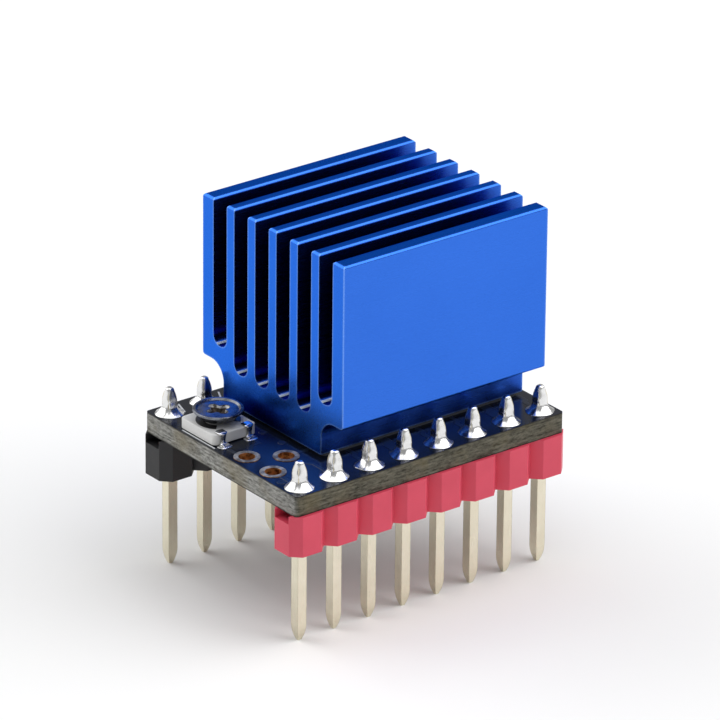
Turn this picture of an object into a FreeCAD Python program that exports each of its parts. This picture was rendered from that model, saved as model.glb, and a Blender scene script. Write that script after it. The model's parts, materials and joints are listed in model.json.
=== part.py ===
import FreeCAD, Part
import os

from FreeCAD import Vector

# Stepper driver module: a small circuit board on two pin headers, with a finned heatsink on top.
# Millimetres, +Z up. The origin is on the plane of the pin tips, midway between the two pin rows
# and midway along them. X runs along the rows and Y across them.

# ---- driving dimensions ----
PITCH = 2.54
PINS_PER_ROW = 8
ROW_GAP = 5 * PITCH
PIN_SIDE = 0.64
PIN_BELOW = 5.95
PIN_ABOVE = 1.60
PIN_TIP_SIDE = 0.22
PIN_TAPER = 1.0
PIN_TOP_SIDE = 0.30
PIN_TOP_TAPER = 0.75

HOUSING_HEIGHT = 2.54
HOUSING_WIDTH = 2.54
HOUSING_CHAMFER = 0.58
HOUSING_RECESS = 0.50
HOUSING_RAIL = 0.62

BOARD_LENGTH = 19.80
BOARD_WIDTH = 14.78
BOARD_THICKNESS = 1.30
BOARD_CORNER = 0.25
PIN_HOLE_RADIUS = 0.50

SOLDER_RADIUS = 0.89
SOLDER_RIM = 0.06
SOLDER_NECK = 0.475
SOLDER_CONE = 0.78

PLATED_HOLE_RADIUS = 0.50
PLATING = 0.04
PLATED_RING_RADIUS = 0.79
COPPER = 0.035
PLATED_HOLES = [(-8.89, -1.27), (-8.89, -3.81), (-6.98, -2.54)]

SINK_LENGTH = 15.0
SINK_WIDTH = 13.60
SINK_HEIGHT = 12.60
SINK_CENTRE_X = 1.92
SINK_CENTRE_Y = 0.73
FIN_COUNT = 7
OUTER_FIN = 1.04
INNER_FIN = 0.74
SINK_FOOT_WIDTH = 9.50
SINK_WING_HEIGHT = 2.30
INNER_SLOT_FLOOR = 2.20
OUTER_SLOT_FLOOR = 3.35
SLOT_CORNER = 0.60
FOOT_FILLET = 1.20
EDGE_ROUND = 0.18
CORNER_ROUND = 0.22
PAD_THICKNESS = 0.25

TRIMMER_X = -8.10
TRIMMER_Y = 2.60
TRIMMER_WIDTH = 3.10
TRIMMER_LENGTH = 3.40
TRIMMER_BASE = 0.65
TRIMMER_CORNER = 0.30
TRIMMER_TOP = 1.53
TRIMMER_GAP = 0.08
ROTOR_RADIUS = 1.52
ROTOR_SHEET = 0.14
ROTOR_DISH = 0.10
ROTOR_HUB_RADIUS = 1.10
ROTOR_LIFT = 0.24
SLOT_ARM = 0.52
SLOT_LOBE = 0.28
SLOT_INNER_ROUND = 0.16
PIVOT_RADIUS = 0.42
PIVOT_PLAY = 0.04
TERMINAL_OFFSET = 0.95
TERMINAL_WIDTH = 0.70
TERMINAL_SHEET = 0.12
TERMINAL_REACH = 0.42
TERMINAL_FOOT = 0.42
WIPER_TERMINAL_WIDTH = 1.00
SOLDER_UNDER_FOOT = 0.02

IC_SIDE = 5.0
IC_HEIGHT = 0.85
IC_PADS_PER_SIDE = 7
IC_PAD_PITCH = 0.5
IC_PAD_WIDTH = 0.24
IC_PAD_LENGTH = 0.40
SOLDER_FILM = 0.05

# ---- levels ----
HOUSING_BOTTOM = PIN_BELOW
BOARD_BOTTOM = HOUSING_BOTTOM + HOUSING_HEIGHT
BOARD_TOP = BOARD_BOTTOM + BOARD_THICKNESS
PIN_TOP = BOARD_TOP + PIN_ABOVE
SINK_BOTTOM = BOARD_TOP + PAD_THICKNESS
SINK_TOP = SINK_BOTTOM + SINK_HEIGHT
UP = Vector(0, 0, 1)
ROWS = {"front": -ROW_GAP / 2, "rear": ROW_GAP / 2}


def block(x0, x1, y0, y1, z0, z1):
    """A box between two corners."""
    return Part.makeBox(x1 - x0, y1 - y0, z1 - z0, Vector(x0, y0, z0))


def centred_block(x, y, z0, length, width, height):
    """A box centred on a vertical line, standing on z0."""
    return block(x - length / 2, x + length / 2, y - width / 2, y + width / 2, z0, z0 + height)


def rod(x, y, z0, radius, height):
    """An upright cylinder."""
    return Part.makeCylinder(radius, height, Vector(x, y, z0))


def prism(points, direction):
    """A solid made by pushing a closed outline of straight sides along a direction."""
    wire = Part.makePolygon([*points, points[0]])
    return Part.Face(wire).extrude(direction)


def revolved(profile, x, y):
    """A solid of revolution about the vertical line through x, y, from (radius, height) points."""
    points = [Vector(x + r, y, z) for r, z in profile]
    face = Part.Face(Part.makePolygon([*points, points[0]]))
    return face.revolve(Vector(x, y, 0), UP, 360)


def joined(shapes):
    """One solid from shapes that touch or overlap."""
    first, *rest = shapes
    return first.multiFuse(rest).removeSplitter() if rest else first


def group(shapes):
    """Separate solids kept together in one sub-part."""
    return Part.makeCompound(shapes)


def upright_edges(shape):
    """The straight vertical edges of a shape."""
    chosen = []
    for edge in shape.Edges:
        if edge.Curve.TypeId != "Part::GeomLine":
            continue
        if abs(abs(edge.tangentAt(edge.FirstParameter).z) - 1) < 1e-6:
            chosen.append(edge)
    return chosen


def edges_at(shape, z):
    """The edges of a shape that lie in one horizontal plane."""
    chosen = []
    for edge in shape.Edges:
        box = edge.BoundBox
        if abs(box.ZMin - z) < 1e-5 and abs(box.ZMax - z) < 1e-5:
            chosen.append(edge)
    return chosen


def rounded_block(x, y, z0, length, width, height, corner, top=0.0):
    """A box with rounded upright corners and, if asked, a softened top edge."""
    shape = centred_block(x, y, z0, length, width, height)
    shape = shape.makeFillet(corner, upright_edges(shape))
    if top:
        shape = shape.makeFillet(top, edges_at(shape, z0 + height))
    return shape


def pin_positions(row):
    """The pin centres of one row, from the trimmer end."""
    first = -(PINS_PER_ROW - 1) * PITCH / 2
    return [(first + i * PITCH, ROWS[row]) for i in range(PINS_PER_ROW)]


# ---- board ----
def board():
    """The laminate, drilled for the two pin rows and the three plated holes."""
    plate = rounded_block(0, 0, BOARD_BOTTOM, BOARD_LENGTH, BOARD_WIDTH, BOARD_THICKNESS, BOARD_CORNER)
    holes = []
    for row in ROWS:
        for x, y in pin_positions(row):
            holes.append(rod(x, y, BOARD_BOTTOM - 1, PIN_HOLE_RADIUS, BOARD_THICKNESS + 2))
    for x, y in PLATED_HOLES:
        radius = PLATED_HOLE_RADIUS + PLATING
        holes.append(rod(x, y, BOARD_BOTTOM - 1, radius, BOARD_THICKNESS + 2))
    return plate.cut(group(holes))


def barrel_plating(x, y):
    """A barrel of plating through the board, with a ring on each face."""
    low = BOARD_BOTTOM - COPPER
    high = BOARD_TOP + COPPER
    outer = PLATED_HOLE_RADIUS + PLATING
    profile = [
        (PLATED_HOLE_RADIUS, low),
        (PLATED_RING_RADIUS, low),
        (PLATED_RING_RADIUS, BOARD_BOTTOM),
        (outer, BOARD_BOTTOM),
        (outer, BOARD_TOP),
        (PLATED_RING_RADIUS, BOARD_TOP),
        (PLATED_RING_RADIUS, high),
        (PLATED_HOLE_RADIUS, high),
    ]
    return revolved(profile, x, y)


# ---- pin headers ----
def ogive(span_axis, push_axis):
    """A pin's outline, tapering to a blunt tip along curved sides, pushed right through."""
    side = PIN_SIDE / 2
    tip = PIN_TIP_SIDE / 2
    middle = tip + 0.68 * (side - tip)

    def at(across, z):
        return span_axis * across + UP * z - push_axis * PIN_SIDE

    def curve(sign, start, through, end):
        points = [at(sign * across, z) for across, z in (start, through, end)]
        return Part.Arc(*points).toShape()

    shoulder = PIN_TOP - PIN_TOP_TAPER
    head = PIN_TOP_SIDE / 2
    head_middle = head + 0.64 * (side - head)
    lower = ((tip, 0), (middle, PIN_TAPER * 0.45), (side, PIN_TAPER))
    upper = ((side, shoulder), (head_middle, PIN_TOP - PIN_TOP_TAPER * 0.45), (head, PIN_TOP))
    edges = [
        curve(1, *lower),
        Part.makeLine(at(side, PIN_TAPER), at(side, shoulder)),
        curve(1, *upper),
        Part.makeLine(at(head, PIN_TOP), at(-head, PIN_TOP)),
        curve(-1, *reversed(upper)),
        Part.makeLine(at(-side, shoulder), at(-side, PIN_TAPER)),
        curve(-1, *reversed(lower)),
        Part.makeLine(at(-tip, 0), at(tip, 0)),
    ]
    return Part.Face(Part.Wire(edges)).extrude(push_axis * (2 * PIN_SIDE))


def header_pin():
    """A square pin on the origin's axis, drawn in to a blunt tip at both ends."""
    x_axis = Vector(1, 0, 0)
    y_axis = Vector(0, 1, 0)
    return ogive(x_axis, y_axis).common(ogive(y_axis, x_axis))


def housing(row):
    """The moulded strip: one eight-sided cell to a pin, with a recess along its board side."""
    y = ROWS[row]
    half = PITCH / 2
    depth = HOUSING_WIDTH / 2
    cut = HOUSING_CHAMFER
    cells = []
    for x, _ in pin_positions(row):
        outline = [
            (x - half, y - depth + cut),
            (x - half + cut, y - depth),
            (x + half - cut, y - depth),
            (x + half, y - depth + cut),
            (x + half, y + depth - cut),
            (x + half - cut, y + depth),
            (x - half + cut, y + depth),
            (x - half, y + depth - cut),
        ]
        points = [Vector(px, py, HOUSING_BOTTOM) for px, py in outline]
        cells.append(prism(points, UP * HOUSING_HEIGHT))
    strip = joined(cells)
    length = PINS_PER_ROW * PITCH + 2
    inner = depth - HOUSING_RAIL
    recess = centred_block(0, y, BOARD_BOTTOM - HOUSING_RECESS, length, 2 * inner, HOUSING_RECESS + 1)
    posts = [
        centred_block(x, y, HOUSING_BOTTOM, PITCH - 1.1, 2 * inner, HOUSING_HEIGHT)
        for x, _ in pin_positions(row)[1::2]
    ]
    strip = joined([strip.cut(recess), *posts])
    shafts = [
        centred_block(x, y, HOUSING_BOTTOM - 1, PIN_SIDE, PIN_SIDE, HOUSING_HEIGHT + 2)
        for x, _ in pin_positions(row)
    ]
    return strip.cut(group(shafts))


def solder_joint(x, y):
    """Solder that fills a pin's hole and climbs the pin in a hollow cone."""
    steps = 7
    cone = []
    for i in range(steps + 1):
        t = i / steps
        radius = SOLDER_NECK + (SOLDER_RADIUS - SOLDER_NECK) * (1 - t) ** 2.2
        cone.append((radius, BOARD_TOP + SOLDER_RIM + t * (SOLDER_CONE - SOLDER_RIM)))
    profile = [
        (0, BOARD_BOTTOM + 0.1),
        (PIN_HOLE_RADIUS, BOARD_BOTTOM + 0.1),
        (PIN_HOLE_RADIUS, BOARD_TOP),
        (SOLDER_RADIUS, BOARD_TOP),
        *cone,
        (SOLDER_NECK, PIN_TOP - PIN_TOP_TAPER),
        (0.0, PIN_TOP - PIN_TOP_TAPER),
    ]
    shaft = centred_block(x, y, 0, PIN_SIDE, PIN_SIDE, PIN_TOP)
    return revolved(profile, x, y).cut(shaft)


# ---- heatsink ----
def sink_profile():
    """The extrusion's end face at the trimmer end: foot, two wings and seven fins."""
    half = SINK_WIDTH / 2
    foot = SINK_FOOT_WIDTH / 2
    wing = SINK_BOTTOM + SINK_WING_HEIGHT
    body = block(0, 1, SINK_CENTRE_Y - half, SINK_CENTRE_Y + half, wing, SINK_TOP)
    foot_block = block(0, 1, SINK_CENTRE_Y - foot, SINK_CENTRE_Y + foot, SINK_BOTTOM, wing)
    shape = joined([body, foot_block])
    corners = []
    for edge in shape.Edges:
        box = edge.BoundBox
        at_foot = abs(abs(box.YMin - SINK_CENTRE_Y) - foot) < 1e-6
        if at_foot and box.XLength > 0.9 and abs(box.ZMin - wing) < 1e-6:
            corners.append(edge)
    return shape.makeFillet(FOOT_FILLET, corners)


def slot_centres():
    """Centre and width of each slot, from the front fin to the rear fin."""
    gaps = FIN_COUNT - 1
    free = SINK_WIDTH - 2 * OUTER_FIN - (FIN_COUNT - 2) * INNER_FIN
    width = free / gaps
    first = SINK_CENTRE_Y - SINK_WIDTH / 2 + OUTER_FIN + width / 2
    return [(first + i * (width + INNER_FIN), width) for i in range(gaps)]


def slot(y, width, floor):
    """The space between two fins, with a flat floor and round corners."""
    half = width / 2
    channel = block(-1, 2, y - half, y + half, floor, SINK_TOP + 1)
    corners = [e for e in edges_at(channel, floor) if e.BoundBox.XLength > 1]
    return channel.makeFillet(SLOT_CORNER, corners)


def heatsink():
    """The finned extrusion, with its fin tips, foot and cut ends softened."""
    shape = sink_profile()
    slots = []
    for i, (y, width) in enumerate(slot_centres()):
        outer = i in (0, FIN_COUNT - 2)
        floor = SINK_BOTTOM + (OUTER_SLOT_FLOOR if outer else INNER_SLOT_FLOOR)
        slots.append(slot(y, width, floor))
    shape = shape.cut(group(slots))
    lines = []
    for edge in shape.Edges:
        box = edge.BoundBox
        on_top = abs(box.ZMin - SINK_TOP) < 1e-6
        at_wing = abs(box.ZMax - SINK_BOTTOM - SINK_WING_HEIGHT) < 1e-6
        outermost = abs(abs(box.YMin - SINK_CENTRE_Y) - SINK_WIDTH / 2) < 1e-6
        if box.XLength > 0.9 and box.ZLength < 1e-6 and (on_top or (at_wing and outermost)):
            lines.append(edge)
    shape = shape.makeFillet(EDGE_ROUND, lines)
    face = next(f for f in shape.Faces if abs(f.BoundBox.XMax) < 1e-6)
    solid = face.extrude(Vector(SINK_LENGTH, 0, 0))
    solid.translate(Vector(SINK_CENTRE_X - SINK_LENGTH / 2, 0, 0))
    return solid.common(sink_side_outline())


def sink_side_outline():
    """The heatsink's outline from the front, with rounded top corners."""
    width = SINK_WIDTH + 2
    outline = centred_block(SINK_CENTRE_X, SINK_CENTRE_Y, SINK_BOTTOM, SINK_LENGTH, width, SINK_HEIGHT)
    corners = [e for e in edges_at(outline, SINK_TOP) if e.BoundBox.YLength > 1]
    return outline.makeFillet(CORNER_ROUND, corners)


def thermal_pad():
    """The soft adhesive pad between board and heatsink."""
    length = SINK_LENGTH - 0.6
    width = SINK_FOOT_WIDTH - 0.3
    return rounded_block(SINK_CENTRE_X, SINK_CENTRE_Y, BOARD_TOP, length, width, PAD_THICKNESS, 0.3)


# ---- trimmer ----
TRIMMER_BOTTOM = BOARD_TOP + TRIMMER_GAP
TRIMMER_DECK = TRIMMER_BOTTOM + TRIMMER_BASE
ROTOR_TOP = BOARD_TOP + TRIMMER_TOP
ROTOR_UNDERSIDE = TRIMMER_DECK + ROTOR_LIFT
PIVOT_TOP = ROTOR_UNDERSIDE - 0.04


def trimmer_base():
    """The carrier, open in the middle for the pivot."""
    base = rounded_block(
        TRIMMER_X,
        TRIMMER_Y,
        TRIMMER_BOTTOM,
        TRIMMER_WIDTH,
        TRIMMER_LENGTH,
        TRIMMER_BASE,
        TRIMMER_CORNER,
        0.08,
    )
    return base.cut(rod(TRIMMER_X, TRIMMER_Y, TRIMMER_BOTTOM - 1, PIVOT_RADIUS, TRIMMER_BASE + 2))


TRACK_OUTER = 1.34
TRACK_INNER = 0.86
TRACK_THICKNESS = 0.03
TRACK_GAP_HALF_ANGLE = 42


def trimmer_track():
    """The resistive horseshoe on the carrier, open towards the end terminals."""
    start = -90 + TRACK_GAP_HALF_ANGLE
    sweep = 360 - 2 * TRACK_GAP_HALF_ANGLE
    centre = Vector(TRIMMER_X, TRIMMER_Y, TRIMMER_DECK)
    outer = Part.makeCylinder(TRACK_OUTER, TRACK_THICKNESS, centre, UP, sweep)
    inner = Part.makeCylinder(TRACK_INNER, TRACK_THICKNESS, centre, UP, sweep)
    track = outer.cut(inner)
    track.rotate(centre, UP, start)
    return track


def trimmer_pivot():
    """The eyelet that the rotor turns on, which carries the wiper current."""
    profile = [
        (0.0, TRIMMER_BOTTOM),
        (PIVOT_RADIUS, TRIMMER_BOTTOM),
        (PIVOT_RADIUS, TRIMMER_DECK),
        (PIVOT_RADIUS - PIVOT_PLAY, TRIMMER_DECK),
        (PIVOT_RADIUS - PIVOT_PLAY, PIVOT_TOP),
        (0.0, PIVOT_TOP),
    ]
    return revolved(profile, TRIMMER_X, TRIMMER_Y)


def driver_slot():
    """The screwdriver opening in the rotor: a cross with round lobes."""
    floor = ROTOR_UNDERSIDE + ROTOR_SHEET / 4
    height = ROTOR_TOP - floor
    shapes = []
    for angle in (0, 90):
        bar = centred_block(0, 0, floor, 2 * SLOT_ARM, 2 * SLOT_LOBE, height)
        ends = [rod(side * SLOT_ARM, 0, floor, SLOT_LOBE, height) for side in (-1, 1)]
        for piece in [bar, *ends]:
            piece.rotate(Vector(0, 0, 0), UP, angle)
            shapes.append(piece)
    slot_shape = joined(shapes)
    inner = []
    for edge in slot_shape.Edges:
        box = edge.BoundBox
        upright = abs(box.DiagonalLength - height) < 1e-6
        if upright and abs(abs(box.XMin) - SLOT_LOBE) < 1e-6 and abs(abs(box.YMin) - SLOT_LOBE) < 1e-6:
            inner.append(edge)
    slot_shape = slot_shape.makeFillet(SLOT_INNER_ROUND, inner)
    slot_shape.translate(Vector(TRIMMER_X, TRIMMER_Y, 0))
    return slot_shape


def trimmer_rotor():
    """The stamped rotor: a dished disc with a raised rim, a hub skirt and the driver slot."""
    sheet = ROTOR_SHEET
    skirt = PIVOT_RADIUS + sheet
    profile = [
        (0.0, ROTOR_UNDERSIDE - 0.02),
        (PIVOT_RADIUS, ROTOR_UNDERSIDE - 0.02),
        (PIVOT_RADIUS, TRIMMER_DECK + 0.10),
        (skirt, TRIMMER_DECK + 0.10),
        (skirt, ROTOR_UNDERSIDE),
        (ROTOR_HUB_RADIUS, ROTOR_UNDERSIDE),
        (ROTOR_RADIUS - sheet, ROTOR_TOP - 1.4 * sheet),
        (ROTOR_RADIUS, ROTOR_TOP - sheet),
        (ROTOR_RADIUS, ROTOR_TOP - 0.04),
        (ROTOR_RADIUS - 0.05, ROTOR_TOP),
        (ROTOR_RADIUS - 0.18, ROTOR_TOP),
        (ROTOR_RADIUS - 0.30, ROTOR_TOP - ROTOR_DISH),
        (0.0, ROTOR_TOP - ROTOR_DISH),
    ]
    return revolved(profile, TRIMMER_X, TRIMMER_Y).cut(driver_slot())


def trimmer_wiper():
    """The spring arm under the rotor, whose tip runs on the track."""
    root_z = ROTOR_UNDERSIDE
    tip_z = TRIMMER_DECK + TRACK_THICKNESS + 0.02
    half_width = 0.24
    outline = [
        (0.62, root_z),
        (1.10, root_z),
        (1.24, tip_z + 0.10),
        (1.24, tip_z),
        (0.98, tip_z),
        (0.92, root_z - 0.10),
        (0.62, root_z - 0.10),
    ]
    points = [Vector(TRIMMER_X - half_width, TRIMMER_Y + r, z) for r, z in outline]
    return prism(points, Vector(2 * half_width, 0, 0))


def end_terminal(side):
    """A clip from the track's end over the carrier's front edge, down to a foot on the board."""
    x = TRIMMER_X + side * TERMINAL_OFFSET
    edge = TRIMMER_Y - TRIMMER_LENGTH / 2
    sheet = TERMINAL_SHEET
    top = TRIMMER_DECK + sheet
    foot_under = BOARD_TOP + SOLDER_UNDER_FOOT
    outline = [
        (edge + TERMINAL_REACH, TRIMMER_DECK),
        (edge + TERMINAL_REACH, top),
        (edge - sheet, top),
        (edge - sheet, foot_under + sheet),
        (edge - TERMINAL_FOOT, foot_under + sheet),
        (edge - TERMINAL_FOOT, foot_under),
        (edge, foot_under),
        (edge, TRIMMER_DECK),
    ]
    points = [Vector(x - TERMINAL_WIDTH / 2, y, z) for y, z in outline]
    return prism(points, Vector(TERMINAL_WIDTH, 0, 0))


def wiper_terminal():
    """The strap from the pivot under the carrier to a foot on the rear side."""
    edge = TRIMMER_Y + TRIMMER_LENGTH / 2
    half = WIPER_TERMINAL_WIDTH / 2
    left = TRIMMER_X - half
    right = TRIMMER_X + half
    low = BOARD_TOP + SOLDER_UNDER_FOOT
    strap_top = TRIMMER_BOTTOM
    strap = block(left, right, TRIMMER_Y - PIVOT_RADIUS, edge + TERMINAL_FOOT, low, strap_top)
    riser = block(left, right, edge, edge + TERMINAL_SHEET, low, TRIMMER_DECK - TERMINAL_SHEET)
    return joined([strap, riser])


def terminal_solder():
    """The solder under and around the trimmer's three feet."""
    front = TRIMMER_Y - TRIMMER_LENGTH / 2 - TERMINAL_FOOT / 2
    rear = TRIMMER_Y + TRIMMER_LENGTH / 2 + TERMINAL_FOOT / 2
    margin = 0.2
    depth = TERMINAL_FOOT + margin
    films = []
    for side in (-1, 1):
        x = TRIMMER_X + side * TERMINAL_OFFSET
        films.append(centred_block(x, front, BOARD_TOP, TERMINAL_WIDTH + margin, depth, SOLDER_UNDER_FOOT))
    width = WIPER_TERMINAL_WIDTH + margin
    films.append(centred_block(TRIMMER_X, rear, BOARD_TOP, width, depth, SOLDER_UNDER_FOOT))
    return group(films)


# ---- underside ----
def ic_body():
    """The driver chip's moulded package, soldered under the board."""
    top = BOARD_BOTTOM - SOLDER_FILM
    body = centred_block(0, 0, top - IC_HEIGHT, IC_SIDE, IC_SIDE, IC_HEIGHT)
    body = body.makeChamfer(0.05, edges_at(body, top - IC_HEIGHT))
    mark = rod(-IC_SIDE / 2 + 0.7, -IC_SIDE / 2 + 0.7, top - IC_HEIGHT, 0.25, 0.05)
    recess = IC_SIDE - 1.5
    pocket = centred_block(0, 0, top - 0.2, recess, recess, 0.2)
    return body.cut(group([mark, pocket, ic_leads()]))


def ic_pad():
    """The metal slab under the chip that carries its heat into the board."""
    side = IC_SIDE - 1.5
    top = BOARD_BOTTOM
    return centred_block(0, 0, top - SOLDER_FILM - 0.2, side, side, SOLDER_FILM + 0.2)


def ic_leads():
    """The chip's edge contacts, flush with its sides."""
    top = BOARD_BOTTOM
    height = SOLDER_FILM + 0.2
    first = -(IC_PADS_PER_SIDE - 1) * IC_PAD_PITCH / 2
    leads = []
    for turn in range(4):
        for i in range(IC_PADS_PER_SIDE):
            along = first + i * IC_PAD_PITCH
            lead = block(
                along - IC_PAD_WIDTH / 2,
                along + IC_PAD_WIDTH / 2,
                -IC_SIDE / 2,
                -IC_SIDE / 2 + IC_PAD_LENGTH,
                top - height,
                top,
            )
            lead.rotate(Vector(0, 0, 0), UP, 90 * turn)
            leads.append(lead)
    return group(leads)


def chip_body(x, y, length, width, height, cap):
    """The middle of a two-ended chip part, hung under the board."""
    top = BOARD_BOTTOM - SOLDER_FILM
    return centred_block(x, y, top - height, length - 2 * cap, width, height)


def chip_ends(x, y, length, width, height, cap):
    """The two metal end caps of a chip part, with the solder that holds them."""
    ends = []
    for side in (-1, 1):
        centre = x + side * (length - cap) / 2
        end = centred_block(centre, y, BOARD_BOTTOM - SOLDER_FILM - height, cap, width, height + SOLDER_FILM)
        ends.append(end)
    return group(ends)


# name, centre x, centre y, length, width, height, end cap
CHIP_PARTS = [
    ("sense_resistor_1", 5.4, 2.6, 3.2, 1.6, 0.55, 0.45),
    ("sense_resistor_2", 5.4, -2.6, 3.2, 1.6, 0.55, 0.45),
    ("supply_capacitor_1", -5.2, 3.2, 2.0, 1.25, 1.10, 0.40),
    ("supply_capacitor_2", 5.4, 0.0, 2.0, 1.25, 1.10, 0.40),
    ("logic_capacitor", -4.7, 0.6, 1.6, 0.8, 0.75, 0.30),
    ("pump_capacitor", -4.7, -1.0, 1.6, 0.8, 0.75, 0.30),
    ("pull_up_resistor_1", -4.7, -2.5, 1.6, 0.8, 0.45, 0.30),
    ("pull_up_resistor_2", -4.7, -4.0, 1.6, 0.8, 0.45, 0.30),
    ("reference_resistor", 0.0, -3.8, 1.6, 0.8, 0.45, 0.30),
    ("charge_capacitor", 0.0, 3.8, 1.6, 0.8, 0.75, 0.30),
]


def nodes():
    """Every sub-part by name."""
    made = {
        "board": board(),
        "heatsink": heatsink(),
        "thermal_pad": thermal_pad(),
        "trimmer_base": trimmer_base(),
        "trimmer_track": trimmer_track(),
        "trimmer_pivot": trimmer_pivot(),
        "trimmer_rotor": trimmer_rotor(),
        "trimmer_wiper": trimmer_wiper(),
        "trimmer_terminal_left": end_terminal(-1),
        "trimmer_terminal_right": end_terminal(1),
        "trimmer_terminal_wiper": wiper_terminal(),
        "trimmer_solder": terminal_solder(),
        "driver_chip": ic_body(),
        "driver_chip_pad": ic_pad(),
        "driver_chip_leads": ic_leads(),
    }
    for row in ROWS:
        made[f"{row}_housing"] = housing(row)
        made[f"{row}_solder"] = group([solder_joint(x, y) for x, y in pin_positions(row)])
        for i, (x, y) in enumerate(pin_positions(row)):
            pin = header_pin()
            pin.translate(Vector(x, y, 0))
            made[f"{row}_pin_{i + 1}"] = pin
    for i, (x, y) in enumerate(PLATED_HOLES):
        made[f"barrel_plating_{i + 1}"] = barrel_plating(x, y)
    for name, *size in CHIP_PARTS:
        made[name] = chip_body(*size)
        made[f"{name}_ends"] = chip_ends(*size)
    return made


os.makedirs("parts", exist_ok=True)
for node, shape in nodes().items():
    shape.exportStep(f"parts/{node}.step")
    print(node, len(shape.Solids), round(shape.Volume, 3), shape.isValid())
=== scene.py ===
import json
import math

import bmesh
import bpy
from mathutils import Matrix, Vector, noise


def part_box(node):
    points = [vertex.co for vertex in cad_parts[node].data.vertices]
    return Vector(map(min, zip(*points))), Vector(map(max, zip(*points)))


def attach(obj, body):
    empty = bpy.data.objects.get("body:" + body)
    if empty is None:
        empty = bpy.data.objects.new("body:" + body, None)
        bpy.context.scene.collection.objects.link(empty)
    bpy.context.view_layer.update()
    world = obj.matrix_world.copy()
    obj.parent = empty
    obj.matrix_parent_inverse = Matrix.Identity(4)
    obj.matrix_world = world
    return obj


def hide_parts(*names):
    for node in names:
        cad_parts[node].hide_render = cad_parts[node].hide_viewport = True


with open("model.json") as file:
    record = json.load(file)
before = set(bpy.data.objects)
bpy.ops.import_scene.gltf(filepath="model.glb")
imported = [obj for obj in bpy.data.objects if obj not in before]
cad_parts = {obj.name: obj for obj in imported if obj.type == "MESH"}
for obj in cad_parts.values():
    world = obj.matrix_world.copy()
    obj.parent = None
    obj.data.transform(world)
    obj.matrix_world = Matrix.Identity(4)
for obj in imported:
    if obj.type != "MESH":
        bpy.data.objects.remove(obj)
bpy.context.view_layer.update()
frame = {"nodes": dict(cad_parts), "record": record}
MM = 0.001
NODES = frame["nodes"]


# ---- places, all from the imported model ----
def middle(node):
    """The centre of a CAD node's box."""
    low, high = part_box(node)
    return (low + high) / 2


BOARD_LOW, BOARD_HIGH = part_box("board")
BOARD_MID = (BOARD_LOW.z + BOARD_HIGH.z) / 2
PIN_ROWS = {row: [middle(f"{row}_pin_{i}") for i in range(1, 9)] for row in ("front", "rear")}


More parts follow.
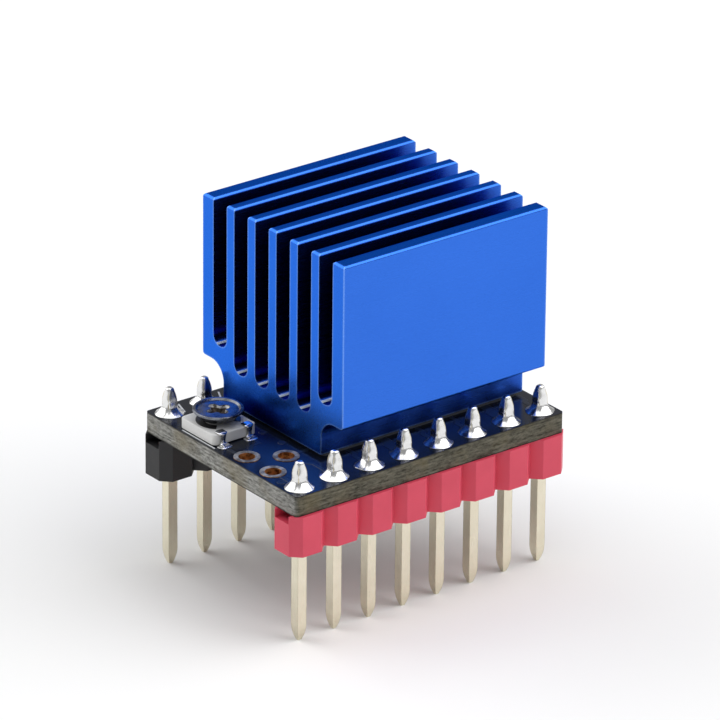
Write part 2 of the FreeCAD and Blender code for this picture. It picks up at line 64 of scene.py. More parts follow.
# ---- node-based materials ----
class Finish:
    """A material under construction: a Principled shader fed by procedural nodes."""

    def __init__(self, name):
        self.material = bpy.data.materials.new(name)
        self.material.use_nodes = True
        self.tree = self.material.node_tree
        self.shader = self.tree.nodes["Principled BSDF"]
        self.place = self.add("ShaderNodeTexCoord").outputs["Object"]

    def add(self, kind, **settings):
        node = self.tree.nodes.new(kind)
        for key, value in settings.items():
            setattr(node, key, value)
        return node

    def join(self, source, target):
        self.tree.links.new(source, target)

    def feed(self, socket, value):
        """Sets a socket to a value, or links it to another node's output."""
        if isinstance(value, bpy.types.NodeSocket):
            self.join(value, socket)
        else:
            socket.default_value = value

    def stretched(self, scale):
        """Object coordinates scaled along each axis, in features per metre."""
        node = self.add("ShaderNodeVectorMath", operation="MULTIPLY")
        self.join(self.place, node.inputs[0])
        node.inputs[1].default_value = scale
        return node.outputs[0]

    def noise(self, scale, detail=4.0, rough=0.55, vector=None):
        node = self.add("ShaderNodeTexNoise")
        node.inputs["Scale"].default_value = scale
        node.inputs["Detail"].default_value = detail
        node.inputs["Roughness"].default_value = rough
        self.join(vector or self.place, node.inputs["Vector"])
        return node.outputs["Fac"]

    def math(self, operation, a, b=0.0):
        node = self.add("ShaderNodeMath", operation=operation)
        self.feed(node.inputs[0], a)
        self.feed(node.inputs[1], b)
        return node.outputs[0]

    def span(self, value, low, high, out_low=0.0, out_high=1.0):
        """A value taken from one range to another, clamped."""
        node = self.add("ShaderNodeMapRange")
        self.feed(node.inputs["Value"], value)
        node.inputs["From Min"].default_value = low
        node.inputs["From Max"].default_value = high
        node.inputs["To Min"].default_value = out_low
        node.inputs["To Max"].default_value = out_high
        return node.outputs["Result"]

    def mix(self, amount, first, second):
        """A colour between two colours."""
        node = self.add("ShaderNodeMix", data_type="RGBA")
        self.feed(node.inputs["Factor"], amount)
        self.feed(node.inputs["A"], first)
        self.feed(node.inputs["B"], second)
        return node.outputs["Result"]

    def part_of(self, vector, axis):
        """One component of a vector."""
        split = self.add("ShaderNodeSeparateXYZ")
        self.join(vector, split.inputs[0])
        return split.outputs[axis]

    def position(self, axis):
        """The place along an axis, in metres."""
        return self.part_of(self.place, axis)

    def normal(self, axis):
        """How much a face looks along an axis: 1 towards it, 0 edge on, -1 away."""
        return self.part_of(self.add("ShaderNodeNewGeometry").outputs["True Normal"], axis)

    def facing(self, axis):
        """How much a face looks along an axis, either way."""
        return self.math("ABSOLUTE", self.normal(axis))

    def all_of(self, *masks):
        """The product of several masks."""
        result = masks[0]
        for mask in masks[1:]:
            result = self.math("MULTIPLY", result, mask)
        return result

    def openness(self, distance):
        """1 in the open, towards 0 deep in a slot or corner."""
        node = self.add("ShaderNodeAmbientOcclusion", samples=8)
        node.inputs["Distance"].default_value = distance
        return node.outputs["AO"]

    def edge_mask(self, radius, amount=1.0):
        """1 on edges, 0 on flat faces, from how a bevelled normal differs."""
        bevel = self.add("ShaderNodeBevel", samples=6)
        bevel.inputs["Radius"].default_value = radius
        geometry = self.add("ShaderNodeNewGeometry")
        dot = self.add("ShaderNodeVectorMath", operation="DOT_PRODUCT")
        self.join(bevel.outputs[0], dot.inputs[0])
        self.join(geometry.outputs["Normal"], dot.inputs[1])
        return self.span(dot.outputs["Value"], 0.98, 0.80, 0.0, amount)

    def soft_edges(self, radius):
        """A normal that rounds over the edges."""
        bevel = self.add("ShaderNodeBevel", samples=4)
        bevel.inputs["Radius"].default_value = radius
        return bevel.outputs[0]

    def bump(self, height, strength, distance, normal=None):
        node = self.add("ShaderNodeBump")
        node.inputs["Strength"].default_value = strength
        node.inputs["Distance"].default_value = distance
        self.join(height, node.inputs["Height"])
        if normal is not None:
            self.join(normal, node.inputs["Normal"])
        return node.outputs[0]

    def done(self, **inputs):
        """Sets the shader's inputs by name, with underscores for spaces, and gives the material."""
        for key, value in inputs.items():
            self.feed(self.shader.inputs[key.replace("_", " ")], value)
        return self.material


def rgb(red, green, blue):
    """A colour with full opacity."""
    return (red, green, blue, 1.0)


def painted_slot_glint(finish):
    """A painted glint on the round of each slot floor, by the cut end: 1 where a pale, less metallic
    highlight is painted.
    """
    low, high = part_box("heatsink")
    lit_lean = -0.42
    tilt = finish.math("ABSOLUTE", finish.math("SUBTRACT", finish.normal("Y"), lit_lean))
    return finish.all_of(
        finish.span(tilt, 0.16, 0.08),
        finish.span(finish.normal("Z"), 0.3, 0.5),
        finish.span(finish.position("X"), low.x + 0.0018, low.x + 0.0010),
        finish.span(finish.position("Z"), high.z - 0.0010, high.z - 0.0012),
    )


def blue_anodised():
    """Dyed anodising: fine lines along the extrusion, painted shade down in the slots, painted highlights on
    the edges and on the slot floors by the cut end.
    """
    finish = Finish("blue_anodised")
    lines = finish.noise(1.0, 3.0, 0.6, finish.stretched((60.0, 9000.0, 9000.0)))
    grain = finish.noise(26000.0, 2.0)
    cloud = finish.noise(160.0, 2.0)
    tint = finish.mix(cloud, rgb(0.036, 0.153, 0.68), rgb(0.044, 0.177, 0.76))
    # Painted shade: walls deep in the slots are coloured dark navy, from ambient occlusion.
    painted_slot_shade = finish.span(finish.openness(0.0022), 0.90, 0.42)
    upright = finish.span(finish.facing("Z"), 0.9, 0.4)
    tint = finish.mix(finish.all_of(painted_slot_shade, upright), tint, rgb(0.007, 0.010, 0.17))
    # Painted highlight: paler blue along the edges, standing in for light caught by rounded edges.
    tint = finish.mix(finish.edge_mask(0.00020, 0.65), tint, rgb(0.30, 0.52, 1.0))
    glint = painted_slot_glint(finish)
    # Painted highlight: the slot floors by the cut end are coloured pale.
    tint = finish.mix(glint, tint, rgb(0.80, 0.92, 1.0))
    ridges = finish.span(lines, 0.3, 0.7, 0.24, 0.28)
    rough = finish.math("ADD", ridges, finish.span(grain, 0.3, 0.7, 0.0, 0.05))
    height = finish.math("ADD", finish.math("MULTIPLY", lines, 0.6), finish.math("MULTIPLY", grain, 0.5))
    return finish.done(
        Base_Color=tint,
        # Less metallic where the glint is painted, so the pale colour shows.
        Metallic=finish.span(glint, 0.0, 1.0, 1.0, 0.1),
        Roughness=rough,
        Normal=finish.bump(height, 0.02, 0.00002),
        Specular_Tint=rgb(0.16, 0.34, 0.95),
    )


MASK_SPECULAR = 0.3
MASK_COAT = 0.12
MASK_COAT_ROUGH = 0.12


def board_finish():
    """Solder mask on the flat faces; on the cut edges, fibrous laminate with brown stains, the long sides
    coloured darker and browner than the ends as painted shade.
    """
    finish = Finish("board")
    flat = finish.span(finish.facing("Z"), 0.6, 0.75)
    strands = finish.noise(1.0, 6.0, 0.75, finish.stretched((2600.0, 2600.0, 7000.0)))
    layers = finish.noise(1.0, 3.0, 0.6, finish.stretched((500.0, 500.0, 6500.0)))
    specks = finish.noise(5200.0, 6.0, 0.85)
    stain = finish.noise(420.0, 3.0)
    mixed = finish.math("ADD", finish.math("MULTIPLY", strands, 0.6), finish.math("MULTIPLY", layers, 0.4))
    # Painted shade: the long sides get darker, browner colours than the ends.
    shaded_long_side = finish.facing("Y")
    dark = finish.mix(shaded_long_side, rgb(0.055, 0.055, 0.050), rgb(0.022, 0.021, 0.014))
    pale = finish.mix(shaded_long_side, rgb(0.46, 0.46, 0.43), rgb(0.175, 0.165, 0.125))
    cut = finish.mix(finish.span(mixed, 0.38, 0.62), dark, pale)
    cut = finish.mix(finish.span(specks, 0.55, 0.72, 0.0, 0.55), cut, pale)
    cut = finish.mix(finish.span(specks, 0.42, 0.30, 0.0, 0.75), cut, rgb(0.03, 0.03, 0.026))
    cut = finish.mix(finish.span(stain, 0.50, 0.68, 0.0, 0.45), cut, rgb(0.20, 0.165, 0.085))
    from_middle = finish.math("ABSOLUTE", finish.math("SUBTRACT", finish.position("Z"), BOARD_MID))
    half = (BOARD_HIGH.z - BOARD_LOW.z) / 2
    skin = finish.span(from_middle, half - 0.00009, half - 0.00004, 0.0, 0.85)
    cut = finish.mix(skin, cut, rgb(0.012, 0.012, 0.011))
    mask = finish.mix(finish.noise(420.0, 3.0), rgb(0.0035, 0.005, 0.010), rgb(0.007, 0.011, 0.025))
    orange_peel = finish.noise(3000.0, 2.0)
    on_edge = finish.math("SUBTRACT", 1.0, flat)
    fibres = finish.math("MULTIPLY", finish.math("ADD", strands, specks), on_edge)
    height = finish.math("ADD", fibres, finish.math("MULTIPLY", orange_peel, 0.08))
    return finish.done(
        Base_Color=finish.mix(flat, cut, mask),
        Roughness=finish.span(flat, 0.0, 1.0, 0.85, 0.27),
        Normal=finish.bump(height, 0.7, 0.00005, finish.soft_edges(0.00004)),
        Specular_IOR_Level=MASK_SPECULAR,
        Coat_Weight=finish.math("MULTIPLY", flat, MASK_COAT),
        Coat_Roughness=MASK_COAT_ROUGH,
    )


def moulding(name, low, high, rough):
    """Moulded nylon with a fine spark-eroded skin."""
    finish = Finish(name)
    skin = finish.noise(14000.0, 3.0)
    flow = finish.noise(500.0, 3.0)
    # Lighter colour on the edges.
    lighter_edge_colour = rgb(*(min(1.0, part * 1.5 + 0.02) for part in high[:3]))
    colour = finish.mix(finish.edge_mask(0.00006, 0.25), finish.mix(flow, low, high), lighter_edge_colour)
    return finish.done(
        Base_Color=colour,
        Roughness=finish.span(skin, 0.3, 0.7, rough - 0.06, rough + 0.08),
        Normal=finish.bump(skin, 0.25, 0.00002, finish.soft_edges(0.00005)),
        Subsurface_Weight=0.04,
        Subsurface_Scale=0.0004,
    )


EVEN_GRAIN = (6000.0, 6000.0, 6000.0)


def metal(name, low, high, rough, stretch=EVEN_GRAIN, bump=0.2, patch=700.0, grime_and_shade=0.0, darker_edges=0.0):
    """Plated or tinned metal: marks along its drawing direction, dirt and painted shade in hollows, darker
    browner edges.
    """
    finish = Finish(name)
    marks = finish.noise(1.0, 4.0, 0.6, finish.stretched(stretch))
    stain = finish.noise(patch, 4.0)
    colour = finish.mix(stain, low, high)
    if grime_and_shade:
        # Dirt and painted shade: darker brown in hollows, from ambient occlusion.
        hollow_grime_and_shade = finish.span(finish.openness(0.0006), 0.62, 0.30, 0.0, grime_and_shade)
        colour = finish.mix(hollow_grime_and_shade, colour, rgb(0.035, 0.026, 0.016))
    if darker_edges:
        # Darker and browner on the edges.
        colour = finish.mix(finish.edge_mask(0.00006, darker_edges), colour, rgb(0.26, 0.20, 0.10))
    return finish.done(
        Base_Color=colour,
        Metallic=1.0,
        Roughness=finish.span(marks, 0.3, 0.7, rough - 0.05, rough + 0.10),
        Normal=finish.bump(marks, bump, 0.00002, finish.soft_edges(0.00003)),
    )


def ceramic(name, low, high, rough=0.55):
    """Fired ceramic or glaze with a fine grain."""
    finish = Finish(name)
    grain = finish.noise(9000.0, 4.0)
    cloud = finish.noise(900.0, 3.0)
    tone = finish.math("MULTIPLY", finish.math("ADD", grain, cloud), 0.5)
    return finish.done(
        Base_Color=finish.mix(tone, low, high),
        Roughness=finish.span(grain, 0.3, 0.7, rough - 0.08, rough + 0.08),
        Normal=finish.bump(grain, 0.2, 0.00002, finish.soft_edges(0.00004)),
    )


def driver_recess():
    """The rotor's pressed opening: a painted highlight at the top of the lobes, brown residue and painted
    shade further down.
    """
    finish = Finish("driver_recess")
    rotor_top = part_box("trimmer_rotor")[1].z
    marks = finish.noise(4200.0, 4.0)
    # Painted highlight near the top of the lobe walls; below it, dark brown for residue and painted shade.
    shallow = finish.span(finish.position("Z"), rotor_top - 0.00030, rotor_top - 0.00022)
    residue_and_shade = finish.mix(marks, rgb(0.004, 0.003, 0.002), rgb(0.070, 0.042, 0.026))
    painted_lobe_highlight = finish.mix(finish.span(marks, 0.42, 0.58), rgb(0.10, 0.09, 0.08), rgb(0.90, 0.90, 0.88))
    return finish.done(
        Base_Color=finish.mix(shallow, residue_and_shade, painted_lobe_highlight),
        Metallic=0.35,
        Roughness=0.38,
        Normal=finish.bump(marks, 0.5, 0.00002),
    )


def hole_plating():
    """Dull tin on the rings, bare copper down the barrels."""
    finish = Finish("hole_plating")
    flat = finish.span(finish.facing("Z"), 0.6, 0.75)
    marks = finish.noise(5000.0, 4.0)
    patches = finish.span(finish.noise(2600.0, 3.0), 0.38, 0.62)
    tin = finish.mix(patches, rgb(0.12, 0.12, 0.12), rgb(0.40, 0.40, 0.40))
    copper = finish.mix(patches, rgb(0.20, 0.075, 0.022), rgb(0.88, 0.46, 0.18))
    return finish.done(
        Base_Color=finish.mix(flat, copper, tin),
        Metallic=finish.span(flat, 0.0, 1.0, 0.9, 0.35),
        Roughness=finish.span(marks, 0.3, 0.7, 0.42, 0.60),
        Normal=finish.bump(marks, 0.5, 0.00002, finish.soft_edges(0.00003)),
    )


def silk_ink():
    """White printing ink with a dry grain."""
    finish = Finish("silk_ink")
    grain = finish.noise(9000.0, 4.0)
    return finish.done(
        Base_Color=finish.mix(grain, rgb(0.55, 0.57, 0.60), rgb(0.80, 0.82, 0.84)),
        Roughness=0.6,
        Normal=finish.bump(grain, 0.2, 0.00001),
    )


def masked_copper():
    """Copper under the solder mask, which shows a little paler than bare laminate under it."""
    finish = Finish("masked_copper")
    grain = finish.noise(3000.0, 3.0)
    return finish.done(
        Base_Color=finish.mix(grain, rgb(0.008, 0.013, 0.026), rgb(0.013, 0.021, 0.042)),
        Roughness=0.29,
        Normal=finish.bump(grain, 0.1, 0.00002),
        Specular_IOR_Level=MASK_SPECULAR,
        Coat_Weight=MASK_COAT,
        Coat_Roughness=MASK_COAT_ROUGH,
    )


def studio_white():
    """The pale floor."""
    finish = Finish("studio_white")
    return finish.done(Base_Color=rgb(0.93, 0.93, 0.93), Roughness=0.85)


MATERIALS = {
    "blue_anodised": blue_anodised(),
    "board": board_finish(),
    "red_housing": moulding("red_housing", rgb(0.64, 0.046, 0.088), rgb(0.78, 0.072, 0.130), 0.42),
    "black_housing": moulding("black_housing", rgb(0.007, 0.007, 0.008), rgb(0.014, 0.014, 0.016), 0.50),
    "pin_plating": metal(
        "pin_plating",
        rgb(0.77, 0.71, 0.54),
        rgb(0.91, 0.86, 0.70),
        rough=0.28,
        stretch=(30000.0, 30000.0, 900.0),
        darker_edges=0.75,
    ),
    "solder": metal(
        "solder",
        rgb(0.72, 0.72, 0.72),
        rgb(0.87, 0.87, 0.86),
        rough=0.19,
        stretch=(3000.0, 3000.0, 1800.0),
        bump=0.25,
        grime_and_shade=0.55,
    ),
    "hole_plating": hole_plating(),
    "trimmer_ceramic": ceramic("trimmer_ceramic", rgb(0.66, 0.66, 0.65), rgb(0.80, 0.80, 0.78)),
    "resistive_track": ceramic("resistive_track", rgb(0.010, 0.010, 0.010), rgb(0.025, 0.025, 0.025), 0.4),
    "trimmer_metal": metal(
        "trimmer_metal",
        rgb(0.78, 0.78, 0.78),
        rgb(0.90, 0.90, 0.89),
        rough=0.17,
        stretch=(1500.0, 1500.0, 1500.0),
        bump=0.1,
        grime_and_shade=0.8,
    ),
    "rotor_metal": metal(
        "rotor_metal",
        rgb(0.0, 0.0, 0.01),
        rgb(0.32, 0.34, 0.38),
        rough=0.26,
        stretch=(1500.0, 1500.0, 1500.0),
        bump=1.4,
        patch=2300.0,
        grime_and_shade=0.6,
    ),
    "driver_recess": driver_recess(),
    "chip_moulding": moulding("chip_moulding", rgb(0.014, 0.014, 0.016), rgb(0.028, 0.028, 0.03), 0.55),
    "tinned_ends": metal("tinned_ends", rgb(0.62, 0.62, 0.62), rgb(0.74, 0.74, 0.73), 0.34),
    "capacitor_body": ceramic("capacitor_body", rgb(0.36, 0.24, 0.13), rgb(0.46, 0.32, 0.19), 0.5),
    "resistor_body": ceramic("resistor_body", rgb(0.015, 0.015, 0.017), rgb(0.03, 0.03, 0.032), 0.3),
    "thermal_pad": ceramic("thermal_pad", rgb(0.05, 0.055, 0.07), rgb(0.09, 0.095, 0.115), 0.8),
    "silk_ink": silk_ink(),
    "masked_copper": masked_copper(),
}

for entry in frame["record"]["subparts"]:
    shown = NODES[entry["node"]]
    shown.data.materials.clear()
    shown.data.materials.append(MATERIALS[entry["material_slot"]])


# ---- new pieces ----
def close_rings(bm, rings):
    """Joins rings of points into one closed shape, with a face over each end."""
    for one, two in zip(rings, rings[1:]):
        for k in range(len(one)):
            n = (k + 1) % len(one)
            bm.faces.new((one[k], one[n], two[n], two[k]))
    bm.faces.new(rings[-1])
    bm.faces.new(list(reversed(rings[0])))


def finished(name, bm, material, body="module", replaced=(), smooth=True):
    """Turns a bmesh into a piece of the object that rides on a body."""
    bmesh.ops.recalc_face_normals(bm, faces=bm.faces)
    mesh = bpy.data.meshes.new(name)
    bm.to_mesh(mesh)
    bm.free()
    if smooth:
        mesh.shade_smooth()
    piece = bpy.data.objects.new(name, mesh)
    bpy.context.scene.collection.objects.link(piece)
    mesh.materials.append(MATERIALS[material])
    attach(piece, body)
    if replaced:
        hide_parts(*replaced)
    return piece


# ---- solder joints ----
def round_square(angle, power):
    """How far the edge of a unit shape between a circle and a square is, at an angle."""
    c = abs(math.cos(angle)) ** power
    s = abs(math.sin(angle)) ** power
    return (c + s) ** (-1.0 / power)


def solder_profile(z):
    """Half width across the faces, and squareness, of the solder on a pin at a height above the board."""
    body = (
        (0.50, 0.378, 5.0),
        (0.86, 0.372, 5.0),
        (1.05, 0.335, 4.2),
        (1.30, 0.280, 3.4),
        (1.48, 0.255, 3.0),
        (1.60, 0.225, 2.6),
        (1.66, 0.140, 2.2),
    )
    if z <= body[0][0]:
        return body[0][1], 2.0 + 3.0 * (z / body[0][0])
    for (z0, w0, p0), (z1, w1, p1) in zip(body, body[1:]):
        if z <= z1:
            t = (z - z0) / (z1 - z0)
            return w0 + (w1 - w0) * t, p0 + (p1 - p0) * t
    return body[-1][1:]


def solder_fillet(bm, x, y, seed):
    """One joint: a flared skirt on the board that closes in on the square pin and caps it."""
    around = 64
    foot_z = BOARD_HIGH.z / MM
    skirt = 0.89
    cone = 0.62
    crease_depth = 0.070
    crease_middle = 0.40
    crease_spread = 0.32
    crease_width = 0.13
    levels = [0.0, 0.02, 0.045, 0.075, 0.11, 0.15, 0.20, 0.26, 0.33, 0.41, 0.50, 0.60, 0.71, 0.82, 0.93, 1.04]
    levels += [1.15, 1.26, 1.36, 1.45, 1.52, 1.57, 1.61, 1.64, 1.66]
    rings = []
    for z in levels:
        flare = max(0.0, 1.0 - z / cone) ** 2.2
        width, power = solder_profile(z)
        crease = crease_depth * math.exp(-(((z - crease_middle) / crease_spread) ** 2))
        ring = []
        for k in range(around):
            angle = 2 * math.pi * k / around
            spot = Vector((math.cos(angle) * 1.3 + seed, math.sin(angle) * 1.3, z * 1.1))
            wobble = noise.noise(spot)
            fine = noise.noise(spot * 3.1)
            corner = math.atan(math.tan(2 * (angle - math.pi / 4))) / 2
            groove = crease * math.exp(-((corner / crease_width) ** 2)) * (1.0 + 0.8 * wobble)
            pinned = width * round_square(angle, power) * (1.0 + 0.03 * max(wobble, -0.2))
            radius = pinned + (skirt * (1.0 + 0.06 * wobble) - width) * flare + 0.010 * fine * flare - groove
            across = (x + radius * math.cos(angle)) * MM
            along = (y + radius * math.sin(angle)) * MM
            ring.append(bm.verts.new((across, along, (foot_z + z) * MM)))
        rings.append(ring)
    close_rings(bm, rings)


def solder_row(row):
    """The eight joints of one row, each a little different."""
    first_seed = 0.0 if row == "front" else 31.0
    seed_step = 3.7
    bm = bmesh.new()
    for i, place in enumerate(PIN_ROWS[row]):
        solder_fillet(bm, place.x / MM, place.y / MM, seed_step * i + first_seed)
    finished(f"{row}_solder_joints", bm, "solder", replaced=[f"{row}_solder"])


for row in PIN_ROWS:
    solder_row(row)


# ---- trimmer ----
TRIMMER_LOW, TRIMMER_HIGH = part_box("trimmer_base")
DECK = (TRIMMER_HIGH.z - BOARD_HIGH.z) / MM
FOOT_SOLDER = 0.02


def bend(centre, radius, start, end, steps=5):
    """Points round a bend, in degrees anticlockwise from the outward direction."""
    points = []
    for i in range(steps + 1):
        angle = math.radians(start + (end - start) * i / steps)
        points.append((centre[0] + radius * math.cos(angle), centre[1] + radius * math.sin(angle)))
    return points


def bent_strip(bm, path, widths, sheet, outward, origin):
    """A bent sheet-metal strip along (out, up) points, each with its own width."""
    across = Vector((outward.y, -outward.x, 0.0))
    rings = []
    for i, (out, up) in enumerate(path):
        before = path[max(0, i - 1)]
        after = path[min(len(path) - 1, i + 1)]
        step = Vector((after[0] - before[0], after[1] - before[1])).normalized()
        half = sheet / 2
        width = widths[i] / 2
        ring = []
        for side, face in ((-1, -1), (1, -1), (1, 1), (-1, 1)):
            shift = Vector((-step.y, step.x)) * half * face
            spot = outward * (out + shift.x) + across * side * width + Vector((0, 0, up + shift.y))
            ring.append(bm.verts.new(origin + spot * MM))
        rings.append(ring)
    close_rings(bm, rings)


def smoothed(piece, levels=2):
    """Rounds a coarse cage into a soft shape."""
    cage = piece.modifiers.new("smooth", "SUBSURF")
    cage.levels = levels
    cage.render_levels = levels


def front_clip(node):
    """A clip that lies on the carrier, hooks over its edge, narrows, and turns out to a foot."""
    low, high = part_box(node)
    width = (high.x - low.x) / MM
    sheet = 0.11
    lie = DECK + sheet / 2 + 0.005
    foot = FOOT_SOLDER + sheet / 2
    path = [(-0.40, lie), (-0.36, lie), (-0.20, lie)]
    path += bend((-0.02, lie - 0.12), 0.12, 90, 0)
    path += [(0.085, 0.36), (0.075, 0.28)]
    path += bend((0.20, foot + 0.12), 0.12, 180, 270)
    path += [(0.34, foot), (0.40, foot), (0.42, foot)]
    waist = 0.52 * width
    widths = [0.9 * width, width, width]
    widths += [width, width, 0.95 * width, 0.85 * width, 0.75 * width, 0.65 * width]
    widths += [waist, waist]
    widths += [waist, 0.65 * width, 0.8 * width, 0.95 * width, width, width]
    widths += [width, width, 0.9 * width]
    bm = bmesh.new()
    origin = Vector(((low.x + high.x) / 2, TRIMMER_LOW.y, BOARD_HIGH.z))
    bent_strip(bm, path, widths, sheet, Vector((0.0, -1.0, 0.0)), origin)
    smoothed(finished(f"{node}_clip", bm, "trimmer_metal", replaced=[node]))


def rear_strap():
    """The wiper's strap: from the pivot under the carrier, a short riser, and a foot behind."""
    low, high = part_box("trimmer_terminal_wiper")
    width = (high.x - low.x) / MM
    sheet = 0.06
    under = FOOT_SOLDER + sheet / 2
    pivot = (low.y - TRIMMER_HIGH.y) / MM
    bm = bmesh.new()
    origin = Vector(((low.x + high.x) / 2, TRIMMER_HIGH.y, BOARD_HIGH.z))
    outward = Vector((0.0, 1.0, 0.0))
    path = [(pivot, under), (pivot + 0.04, under), (-0.2, under), (0.1, under), (0.38, under), (0.42, under)]
    bent_strip(bm, path, [0.8 * width, width, width, width, width, 0.9 * width], sheet, outward, origin)
    riser_sheet = 0.09
    riser = [(0.16, under), (0.08, 0.10), (0.06, 0.20), (0.055, 0.42), (0.055, 0.50), (0.05, 0.54)]
    riser_widths = [width, width, 0.9 * width, 0.8 * width, 0.75 * width, 0.6 * width]
    bent_strip(bm, riser, riser_widths, riser_sheet, outward, origin)
    smoothed(finished("trimmer_strap", bm, "trimmer_metal", replaced=["trimmer_terminal_wiper"]))


def cross_reach(angle):
    """How far the rotor's opening reaches at an angle, in mm: round lobes, and rounded inner corners."""
    arm = 0.52
    lobe = 0.28
    inner = 0.16
    quarter = math.pi / 4
    off = abs((angle + quarter) % (2 * quarter) - quarter)
    if off > math.atan2(lobe, lobe + inner):
        away = (lobe + inner) * math.sqrt(2)
        turn = quarter - off
        return away * math.cos(turn) - math.sqrt(inner**2 - (away * math.sin(turn)) ** 2)
    if off > math.atan2(lobe, arm):
        return lobe / math.sin(off)
    return arm * math.cos(off) + math.sqrt(lobe**2 - (arm * math.sin(off)) ** 2)


def rotor_recess():
    """The leaning walls inside the rotor's cross opening, which close in on a small floor."""
    low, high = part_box("trimmer_rotor")
    centre = (low + high) / 2 / MM
    dish = high.z / MM - 0.10
    around = 96
    hidden = [(1.04, 0.44), (1.04, 0.03)]
    walls = [(0.97, 0.03), (0.90, 0.12), (0.76, 0.25), (0.58, 0.36), (0.46, 0.40)]
    bm = bmesh.new()
    rings = []
    for scale, depth in hidden + walls:
        ring = []
        for k in range(around):
            angle = 2 * math.pi * k / around
            reach = scale * cross_reach(angle)
            x = centre.x + reach * math.cos(angle)
            y = centre.y + reach * math.sin(angle)
            ring.append(bm.verts.new(Vector((x, y, dish - depth)) * MM))
        rings.append(ring)
    close_rings(bm, rings)
    finished("rotor_recess", bm, "driver_recess", body="rotor", smooth=False)


def solder_mound(bm, x, y, reach, depth, rise, seed):
    """A low pool of solder that climbs towards its middle."""
    around = 32
    rings = []
    for t in (1.0, 0.985, 0.95, 0.88, 0.76, 0.60, 0.42, 0.24, 0.10):
        ring = []
        for k in range(around):
            angle = 2 * math.pi * k / around
            spot = Vector((math.cos(angle) * 1.4 + seed, math.sin(angle) * 1.4, t))
            grow = 1.0 + 0.07 * noise.noise(spot)
            out = t * grow * round_square(angle, 2.8)
            up = rise * (1.0 - t) ** 0.7 * (1.0 + 0.15 * noise.noise(spot * 2.3))
            place = Vector((x + reach * out * math.cos(angle), y + depth * out * math.sin(angle), up))
            ring.append(bm.verts.new(place * MM + Vector((0, 0, BOARD_HIGH.z))))
        rings.append(ring)
    close_rings(bm, rings)


def trimmer_solder():
    """The solder pools at the trimmer's three feet."""
    bm = bmesh.new()
    for i, node in enumerate(("trimmer_terminal_left", "trimmer_terminal_right")):
        low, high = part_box(node)
        centre = (low + high) / 2 / MM
        solder_mound(bm, centre.x, low.y / MM + 0.22, 0.46, 0.36, 0.12, 5.0 + i)
    low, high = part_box("trimmer_terminal_wiper")
    solder_mound(bm, (low.x + high.x) / 2 / MM, high.y / MM - 0.20, 0.64, 0.34, 0.12, 9.0)
    finished("trimmer_feet_solder", bm, "solder", replaced=["trimmer_solder"])


for clip in ("trimmer_terminal_left", "trimmer_terminal_right"):
    front_clip(clip)
rear_strap()
rotor_recess()
trimmer_solder()


# ---- printed lines, copper under the mask, vias ----
def ribbon(bm, points, width, top=True, thickness=0.014):
    """A flat strip with bevelled sides along a line on the board, in mm."""
    surface = (BOARD_HIGH.z if top else BOARD_LOW.z) / MM
    out = 1.0 if top else -1.0
    flat = [Vector(p) for p in points]
    rings = []
    for i, here in enumerate(flat):
        before = flat[max(0, i - 1)]
        after = flat[min(len(flat) - 1, i + 1)]
        one = (here - before).normalized() if i else (after - here).normalized()
        two = (after - here).normalized() if i < len(flat) - 1 else one
        along = (one + two).normalized()
        side = Vector((-along.y, along.x)) / max(0.4, along.dot(one))
        ring = []
        for offset, up in ((-0.5, -0.002), (-0.42, 1.0), (0.42, 1.0), (0.5, -0.002)):
            spot = here + side * width * offset
            rise = thickness * up if up > 0 else up
            ring.append(bm.verts.new(Vector((spot.x, spot.y, surface + out * rise)) * MM))
        rings.append(ring)
    close_rings(bm, rings)


def disc(bm, x, y, rings_mm, top=True, around=28):
    """A turned shape on the board from (radius, height) pairs, outside in."""
    surface = (BOARD_HIGH.z if top else BOARD_LOW.z) / MM
    out = 1.0 if top else -1.0
    rings = []
    for radius, up in rings_mm:
        ring = []
        for k in range(around):
            angle = 2 * math.pi * k / around
            spot = Vector((x + radius * math.cos(angle), y + radius * math.sin(angle), surface + out * up))
            ring.append(bm.verts.new(spot * MM))
        rings.append(ring)
    close_rings(bm, rings)


VIA = ((0.27, -0.002), (0.25, 0.014), (0.15, 0.016), (0.12, 0.010), (0.07, 0.004))


def printed_lines():
    """White lines: by the trimmer and between the rear pins on top, and the chip's corners underneath."""
    bm = bmesh.new()
    trimmer_line = 0.10
    line = 0.12
    left = TRIMMER_LOW.x / MM - 0.06
    ribbon(bm, [(left, TRIMMER_LOW.y / MM - 0.15), (left, TRIMMER_HIGH.y / MM - 0.35)], trimmer_line)
    ribbon(bm, [(-7.76, 7.01), (-8.11, 5.87)], line)
    ribbon(bm, [(-4.82, 7.01), (-5.23, 6.20)], line)
    reach = 2.85
    arm = 0.8
    short = reach - arm
    for sx in (-1, 1):
        for sy in (-1, 1):
            corner = [(sx * short, sy * reach), (sx * reach, sy * reach), (sx * reach, sy * short)]
            ribbon(bm, corner, line, top=False)
    finished("printed_lines", bm, "silk_ink", smooth=False)


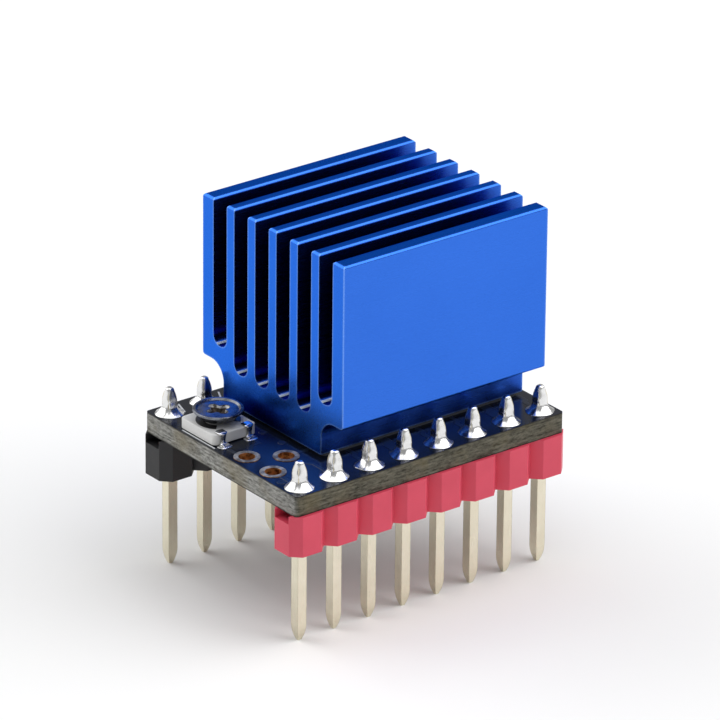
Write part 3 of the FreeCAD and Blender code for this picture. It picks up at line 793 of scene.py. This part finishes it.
def chip_fillets():
    """Solder that climbs the ends of the chip parts underneath, from their pads."""
    bm = bmesh.new()
    steps = 6
    reach = 0.30
    tucked = 0.02
    for node in NODES:
        if not node.endswith("_ends"):
            continue
        low, high = (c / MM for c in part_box(node))
        climb = 0.62 * (high.z - low.z)
        for side, end in ((-1, low.x), (1, high.x)):
            rings = []
            outer = [(low.y - 0.03, 0.85), (high.y + 0.03, 0.85)]
            full = [(low.y + 0.05, 1.0), (high.y - 0.05, 1.0)]
            for y, size in sorted(outer + full):
                ring = [bm.verts.new(Vector((end - side * tucked, y, BOARD_LOW.z / MM)) * MM)]
                for k in range(steps + 1):
                    turn = math.pi / 2 * k / steps
                    out = end + side * reach * size * (1.0 - math.cos(turn))
                    down = BOARD_LOW.z / MM - climb * size * (1.0 - math.sin(turn))
                    if k == 0:
                        out -= side * tucked
                    ring.append(bm.verts.new(Vector((out, y, down)) * MM))
                rings.append(ring)
            close_rings(bm, rings)
    finished("chip_fillets", bm, "solder")


THIN_TRACK = 0.26
TRACK = 0.34
POWER_TRACK = 0.7
FAN_TRACK = 0.18


def pin_x(i):
    """Where the pin columns stand along the board, in mm, from 0 to 7."""
    return PIN_ROWS["front"][i].x / MM


def top_copper():
    """Tracks from the pins in under the heatsink, and the trimmer's tracks."""
    bm = bmesh.new()
    for i in range(8):
        x = pin_x(i)
        if i > 1:
            width = TRACK if i % 3 else POWER_TRACK
            ribbon(bm, [(x, -5.6), (x, -4.9), (x + 0.25, -4.65), (x + 0.25, -3.9)], width)
        if i > 2:
            ribbon(bm, [(x, 5.6), (x, 5.2)], 0.5)
    ribbon(bm, [(-8.89, -4.5), (-8.89, -5.6)], TRACK)
    ribbon(bm, [(-8.35, -0.8), (-7.7, -0.15), (-7.15, -0.15), (-7.15, 0.3)], THIN_TRACK)
    ribbon(bm, [(-9.1, -0.6), (-9.1, 0.3)], THIN_TRACK)
    ribbon(bm, [(-6.2, -2.54), (-5.0, -2.54)], TRACK)
    ribbon(bm, [(-6.35, -5.6), (-6.35, -4.3), (-6.9, -3.75), (-6.9, -3.3)], THIN_TRACK)
    for x, y in ((-6.1, 0.9), (-6.15, 2.6), (-6.1, 4.6), (-7.6, -4.35), (-6.05, -0.9), (-9.35, -5.2)):
        disc(bm, x, y, VIA)
    finished("top_copper", bm, "masked_copper", smooth=False)


def under_copper():
    """Tracks from the driver chip out to the pins, with vias, on the underside."""
    bm = bmesh.new()
    chip = 2.55
    contact_pitch = 0.5
    ground = 0.9
    for i in range(7):
        offset = (i - 3) * contact_pitch
        pin = pin_x(i if i < 4 else i + 1)
        for side in (-1, 1):
            lane = side * (4.75 + 0.12 * abs(i - 3))
            start = (offset, side * chip)
            turn = (offset, lane - side * 0.3)
            target = (pin, lane + side * 0.35)
            ribbon(bm, [start, turn, target, (pin, side * 5.5)], FAN_TRACK, top=False)
    for i in range(7):
        offset = (i - 3) * contact_pitch
        for side in (-1, 1):
            start = (side * chip, offset)
            ribbon(bm, [start, (side * 3.1, offset), (side * 3.7, offset * 1.5)], FAN_TRACK, top=False)
            if i % 2:
                disc(bm, side * 3.7, offset * 1.5, VIA, top=False)
    ribbon(bm, [(-9.2, 4.2), (-9.2, -4.2)], 0.5, top=False)
    ribbon(bm, [(9.2, 4.2), (9.2, -4.2)], POWER_TRACK, top=False)
    ribbon(bm, [(7.3, 2.6), (9.0, 2.6)], ground, top=False)
    ribbon(bm, [(7.3, -2.6), (9.0, -2.6)], ground, top=False)
    power_vias = [(8.2, 0.6), (8.2, -0.6), (8.2, 1.3), (8.2, -1.3)]
    signal_vias = [(-7.2, 1.8), (-7.2, 4.2), (-7.8, 0.4), (3.4, 4.3)]
    for x, y in power_vias + signal_vias:
        disc(bm, x, y, VIA, top=False)
    finished("under_copper", bm, "masked_copper", smooth=False)


chip_fillets()
printed_lines()
top_copper()
under_copper()


# ---- floor, light and camera ----
def studio_floor():
    """A wide pale floor at the pin tips."""
    half = 3.0
    mesh = bpy.data.meshes.new("floor")
    corners = [(-half, -half, 0), (half, -half, 0), (half, half, 0), (-half, half, 0)]
    mesh.from_pydata(corners, [], [(0, 1, 2, 3)])
    floor = bpy.data.objects.new("floor", mesh)
    bpy.context.scene.collection.objects.link(floor)
    mesh.materials.append(studio_white())


def soft_light(name, place, target, size, watts):
    """A square soft box that looks at a target."""
    data = bpy.data.lights.new(name, "AREA")
    data.shape = "RECTANGLE"
    data.size = size
    data.size_y = size
    data.energy = watts
    lamp = bpy.data.objects.new(name, data)
    lamp.location = place
    lamp.rotation_euler = (Vector(target) - Vector(place)).to_track_quat("-Z", "Y").to_euler()
    bpy.context.scene.collection.objects.link(lamp)


def studio_light():
    """A white surround, a key light over the front row, a rim light behind, and one overhead."""
    world = bpy.data.worlds.new("studio")
    world.use_nodes = True
    sky = world.node_tree.nodes["Background"]
    sky.inputs["Color"].default_value = rgb(1.0, 1.0, 1.0)
    sky.inputs["Strength"].default_value = 0.36
    bpy.context.scene.world = world
    centre = (0.0, 0.0, 0.012)
    distance = 0.35
    soft_light("key", Vector((0.56, -0.41, 0.72)) * distance, centre, size=0.36, watts=0.80)
    soft_light("rim", Vector((-0.41, 0.72, 0.56)) * distance, centre, size=0.34, watts=0.60)
    soft_light("top", Vector((0.0, 0.0, 0.40)), centre, size=0.34, watts=0.42)


VIEW_AZIMUTH = -37.749
VIEW_ELEVATION = 24.354
VIEW_ROLL = 0.5635
VIEW_DISTANCE = 0.41796
VIEW_TARGET = Vector((0.638, 0.378, 12.822)) * MM
VIEW_LENS = 354.74


def camera():
    """Turns round the target by azimuth and elevation, then rolls a little."""
    azimuth, elevation, roll = (math.radians(a) for a in (VIEW_AZIMUTH, VIEW_ELEVATION, VIEW_ROLL))
    back = Vector(
        (
            math.sin(azimuth) * math.cos(elevation),
            -math.cos(azimuth) * math.cos(elevation),
            math.sin(elevation),
        )
    )
    level = Vector((math.cos(azimuth), math.sin(azimuth), 0.0))
    up = back.cross(level)
    right = math.cos(roll) * level + math.sin(roll) * up
    above = math.cos(roll) * up - math.sin(roll) * level
    turn = Matrix((right, above, back)).transposed().to_4x4()
    data = bpy.data.cameras.new("camera")
    data.lens = VIEW_LENS
    data.clip_start = 0.01
    eye = bpy.data.objects.new("camera", data)
    eye.matrix_world = Matrix.Translation(VIEW_TARGET + back * VIEW_DISTANCE) @ turn
    bpy.context.scene.collection.objects.link(eye)
    bpy.context.scene.camera = eye


studio_floor()
studio_light()
camera()
bpy.context.scene.view_settings.view_transform = "Standard"
